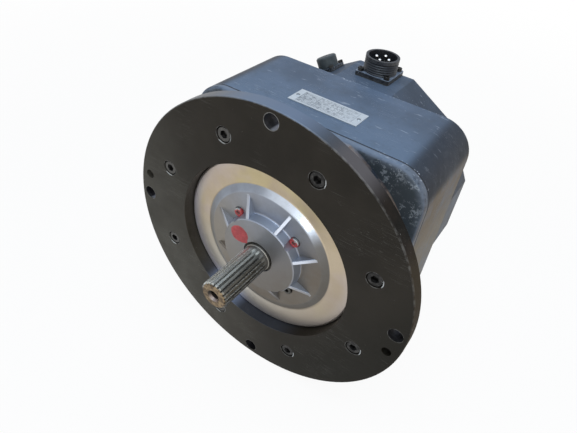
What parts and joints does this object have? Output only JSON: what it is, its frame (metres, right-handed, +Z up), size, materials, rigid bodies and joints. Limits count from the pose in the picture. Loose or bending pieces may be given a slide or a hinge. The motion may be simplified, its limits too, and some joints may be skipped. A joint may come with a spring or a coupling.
{
  "type": "ac servo motor",
  "caption": "Square-bodied servo motor with a splined shaft, a round adapter ring on its front and plug connectors on a faceted rear cover.",
  "frame": {"origin": "centre of the adapter ring's front face, on the shaft axis", "axes": "-Y along the shaft out of the motor, +Y towards the rear cover, +Z up on the connector side, +X to the right seen from the front"},
  "size_m": [0.28, 0.2531, 0.28],
  "materials": {
    "ring_black": "black oxide, worn",
    "screw_black": "black oxide",
    "casting": "cast and machined aluminium",
    "frame_paint": "satin blue-grey paint",
    "steel": "ground steel",
    "shaft_steel": "cut and hardened steel",
    "bearing_steel": "polished",
    "seal_rubber": "matt",
    "lamination": "stacked sheet",
    "copper": "enamelled copper",
    "magnet": "sintered",
    "cage_plastic": "moulded",
    "gasket": "matt sheet",
    "connector_black": "black finish",
    "insert_plastic": "moulded",
    "pin_silver": "silver plated",
    "wire": "insulated",
    "board": "resist",
    "glass": "clear",
    "plate": "satin",
    "cap_plastic": "moulded"
  },
  "bodies": {
    "housing": {"adapter_ring": "ring_black", "ring_screws": "screw_black", "front_bracket": "casting", "bracket_screws": "screw_black", "shaft_seal": "seal_rubber", "bearing_retainer": "steel", "retainer_screws": "steel", "front_bearing_outer": "bearing_steel", "stator_frame": "frame_paint", "stator_core": "lamination", "stator_windings": "copper", "rear_bracket": "casting", "rear_bracket_screws": "screw_black", "preload_washer": "steel", "rear_bearing_outer": "bearing_steel", "encoder_base": "casting", "encoder_screws": "steel", "encoder_sensor": "insert_plastic", "encoder_board": "board", "board_screws": "steel", "board_header": "insert_plastic", "rear_cover": "frame_paint", "cover_gasket": "gasket", "cover_screws": "screw_black", "power_shell": "connector_black", "power_gasket": "gasket", "power_insert": "insert_plastic", "power_pins": "pin_silver", "power_screws": "screw_black", "power_leads": "wire", "signal_shell": "connector_black", "signal_gasket": "gasket", "signal_insert": "insert_plastic", "signal_pins": "pin_silver", "signal_screws": "screw_black", "signal_lead": "wire", "nameplate": "plate", "nameplate_rivets": "steel"},
    "rotor": {"shaft": "shaft_steel", "rotor_core": "lamination", "rotor_end_plates": "steel", "rotor_magnets": "magnet", "front_bearing_inner": "bearing_steel", "rear_bearing_inner": "bearing_steel", "encoder_hub": "steel", "encoder_disc": "glass"},
    "front_balls": {"front_bearing_balls": "bearing_steel", "front_bearing_cage": "cage_plastic"},
    "rear_balls": {"rear_bearing_balls": "bearing_steel", "rear_bearing_cage": "cage_plastic"},
    "signal_cap": {"signal_cap": "cap_plastic"}
  },
  "joints": [
    {"name": "shaft_turn", "type": "hinge", "parent": "housing", "child": "rotor", "pos_m": [0, 0, 0], "axis": [0, -1, 0], "continuous": true},
    {"name": "front_balls_turn", "type": "hinge", "parent": "housing", "child": "front_balls", "pos_m": [0, 0, 0], "axis": [0, -1, 0], "continuous": true},
    {"name": "rear_balls_turn", "type": "hinge", "parent": "housing", "child": "rear_balls", "pos_m": [0, 0, 0], "axis": [0, -1, 0], "continuous": true},
    {"name": "cap_off", "type": "slide", "parent": "housing", "child": "signal_cap", "axis": [-0.5, 0, 0.866], "range_m": [0, 0.02]}
  ],
  "couplings": [
    {"joint": "front_balls_turn", "follows": "shaft_turn", "ratio": 0.3967},
    {"joint": "rear_balls_turn", "follows": "shaft_turn", "ratio": 0.3908}
  ]
}
